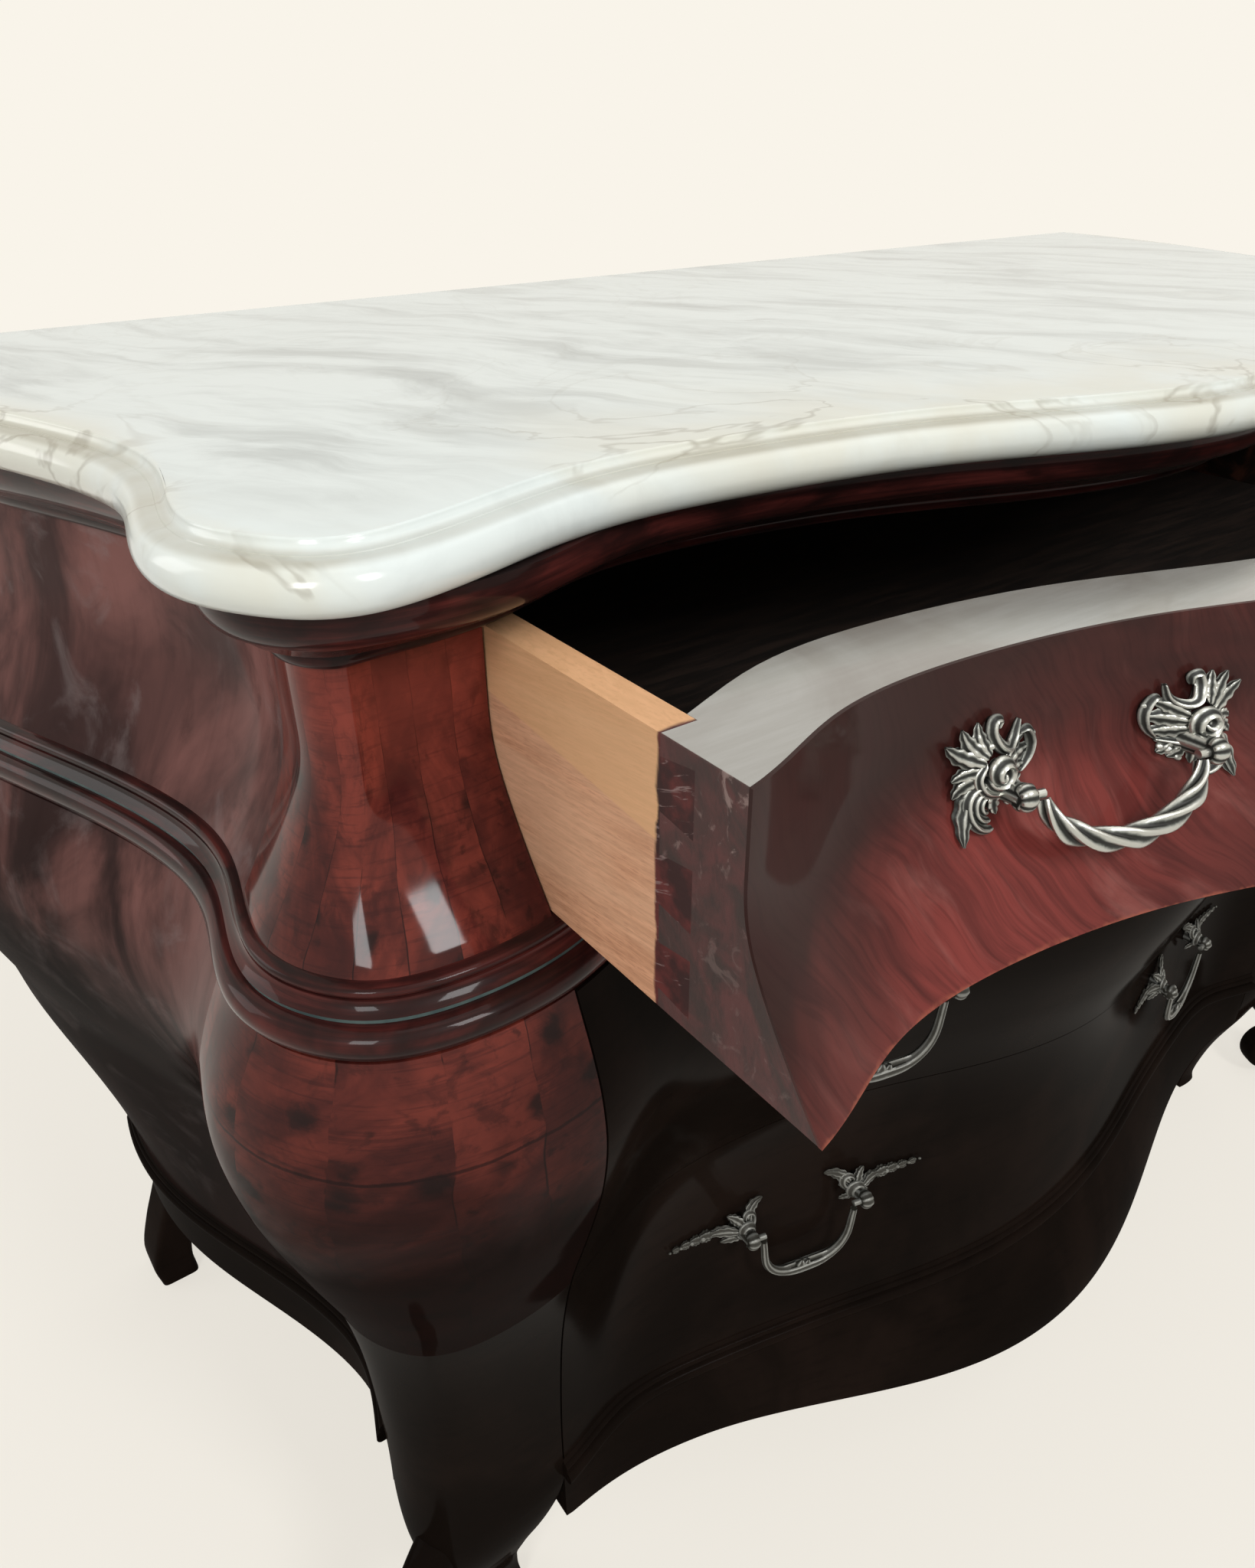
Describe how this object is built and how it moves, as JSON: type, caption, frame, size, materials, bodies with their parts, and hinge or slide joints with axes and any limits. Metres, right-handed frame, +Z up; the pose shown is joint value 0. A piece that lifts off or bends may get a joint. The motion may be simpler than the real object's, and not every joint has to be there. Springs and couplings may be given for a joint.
{
  "type": "bombe chest",
  "caption": "Bombe chest with a shaped stone top, a coved upper drawer over two swelling drawers, bulbous corner posts, scroll feet and bail pulls.",
  "frame": {"origin": "centre of the floor area covered, at floor level", "axes": "+Z up, front of the drawers towards -Y, +X to the right seen from the back"},
  "size_m": [1.3696, 0.771, 0.885],
  "materials": {
    "dark_mahogany": "gloss",
    "frame_wood": "matt",
    "beech": "satin",
    "antique_silver": "antique",
    "burl_veneer": "gloss",
    "white_marble": "polished",
    "inlay_line": "satin"
  },
  "bodies": {
    "carcass": {"apron_front": "dark_mahogany", "apron_left": "dark_mahogany", "apron_right": "dark_mahogany", "back_panel": "frame_wood", "base_frame": "frame_wood", "base_moulding_front": "dark_mahogany", "base_moulding_left": "dark_mahogany", "base_moulding_right": "dark_mahogany", "base_panel": "frame_wood", "drawer_guides": "frame_wood", "front_leg_left": "dark_mahogany", "front_leg_right": "dark_mahogany", "lower_post_left": "burl_veneer", "lower_post_right": "burl_veneer", "lower_side_left": "burl_veneer", "lower_side_right": "burl_veneer", "marble_top": "white_marble", "middle_frame": "frame_wood", "middle_panel": "frame_wood", "rear_leg_left": "dark_mahogany", "rear_leg_right": "dark_mahogany", "top_frame": "frame_wood", "top_moulding_front": "dark_mahogany", "top_moulding_left": "dark_mahogany", "top_moulding_right": "dark_mahogany", "upper_post_left": "burl_veneer", "upper_post_right": "burl_veneer", "upper_side_left": "burl_veneer", "upper_side_right": "burl_veneer", "waist_frame": "frame_wood", "waist_inlay": "inlay_line", "waist_moulding_front": "dark_mahogany", "waist_moulding_left": "dark_mahogany", "waist_moulding_right": "dark_mahogany", "waist_panel": "frame_wood"},
    "upper_drawer": {"upper_drawer_back": "beech", "upper_drawer_bottom": "beech", "upper_drawer_front": "burl_veneer", "upper_drawer_pull_plates": "antique_silver", "upper_drawer_side_left": "beech", "upper_drawer_side_right": "beech"},
    "upper_bail_left": {"upper_drawer_bail_left": "antique_silver"},
    "upper_bail_right": {"upper_drawer_bail_right": "antique_silver"},
    "middle_drawer": {"middle_drawer_back": "beech", "middle_drawer_bottom": "beech", "middle_drawer_front": "burl_veneer", "middle_drawer_pull_plates": "antique_silver", "middle_drawer_side_left": "beech", "middle_drawer_side_right": "beech"},
    "middle_bail_left": {"middle_drawer_bail_left": "antique_silver"},
    "middle_bail_right": {"middle_drawer_bail_right": "antique_silver"},
    "lower_drawer": {"lower_drawer_back": "beech", "lower_drawer_bottom": "beech", "lower_drawer_front": "burl_veneer", "lower_drawer_pull_plates": "antique_silver", "lower_drawer_side_left": "beech", "lower_drawer_side_right": "beech"},
    "lower_bail_left": {"lower_drawer_bail_left": "antique_silver"},
    "lower_bail_right": {"lower_drawer_bail_right": "antique_silver"}
  },
  "joints": [
    {"name": "upper_drawer_slide", "type": "slide", "parent": "carcass", "child": "upper_drawer", "axis": [0, -1, 0], "range_m": [-0.176, 0.12]},
    {"name": "upper_bail_left_swing", "type": "hinge", "parent": "upper_drawer", "child": "upper_bail_left", "pos_m": [-0.229, -0.30572, 0.759], "axis": [-0.9723, 0.2339, 0], "range_deg": [0, 60]},
    {"name": "upper_bail_right_swing", "type": "hinge", "parent": "upper_drawer", "child": "upper_bail_right", "pos_m": [0.229, -0.30572, 0.759], "axis": [-0.9723, -0.2339, 0], "range_deg": [0, 60]},
    {"name": "middle_drawer_slide", "type": "slide", "parent": "carcass", "child": "middle_drawer", "axis": [0, -1, 0], "range_m": [0, 0.28]},
    {"name": "middle_bail_left_swing", "type": "hinge", "parent": "middle_drawer", "child": "middle_bail_left", "pos_m": [-0.238, -0.2103, 0.5596], "axis": [-0.9767, 0.2147, 0], "range_deg": [0, 80]},
    {"name": "middle_bail_right_swing", "type": "hinge", "parent": "middle_drawer", "child": "middle_bail_right", "pos_m": [0.238, -0.2103, 0.5596], "axis": [-0.9767, -0.2147, 0], "range_deg": [0, 80]},
    {"name": "lower_drawer_slide", "type": "slide", "parent": "carcass", "child": "lower_drawer", "axis": [0, -1, 0], "range_m": [0, 0.28]},
    {"name": "lower_bail_left_swing", "type": "hinge", "parent": "lower_drawer", "child": "lower_bail_left", "pos_m": [-0.238, -0.16445, 0.331], "axis": [-0.9728, 0.2315, 0], "range_deg": [0, 80]},
    {"name": "lower_bail_right_swing", "type": "hinge", "parent": "lower_drawer", "child": "lower_bail_right", "pos_m": [0.238, -0.16445, 0.331], "axis": [-0.9728, -0.2315, 0], "range_deg": [0, 80]}
  ]
}
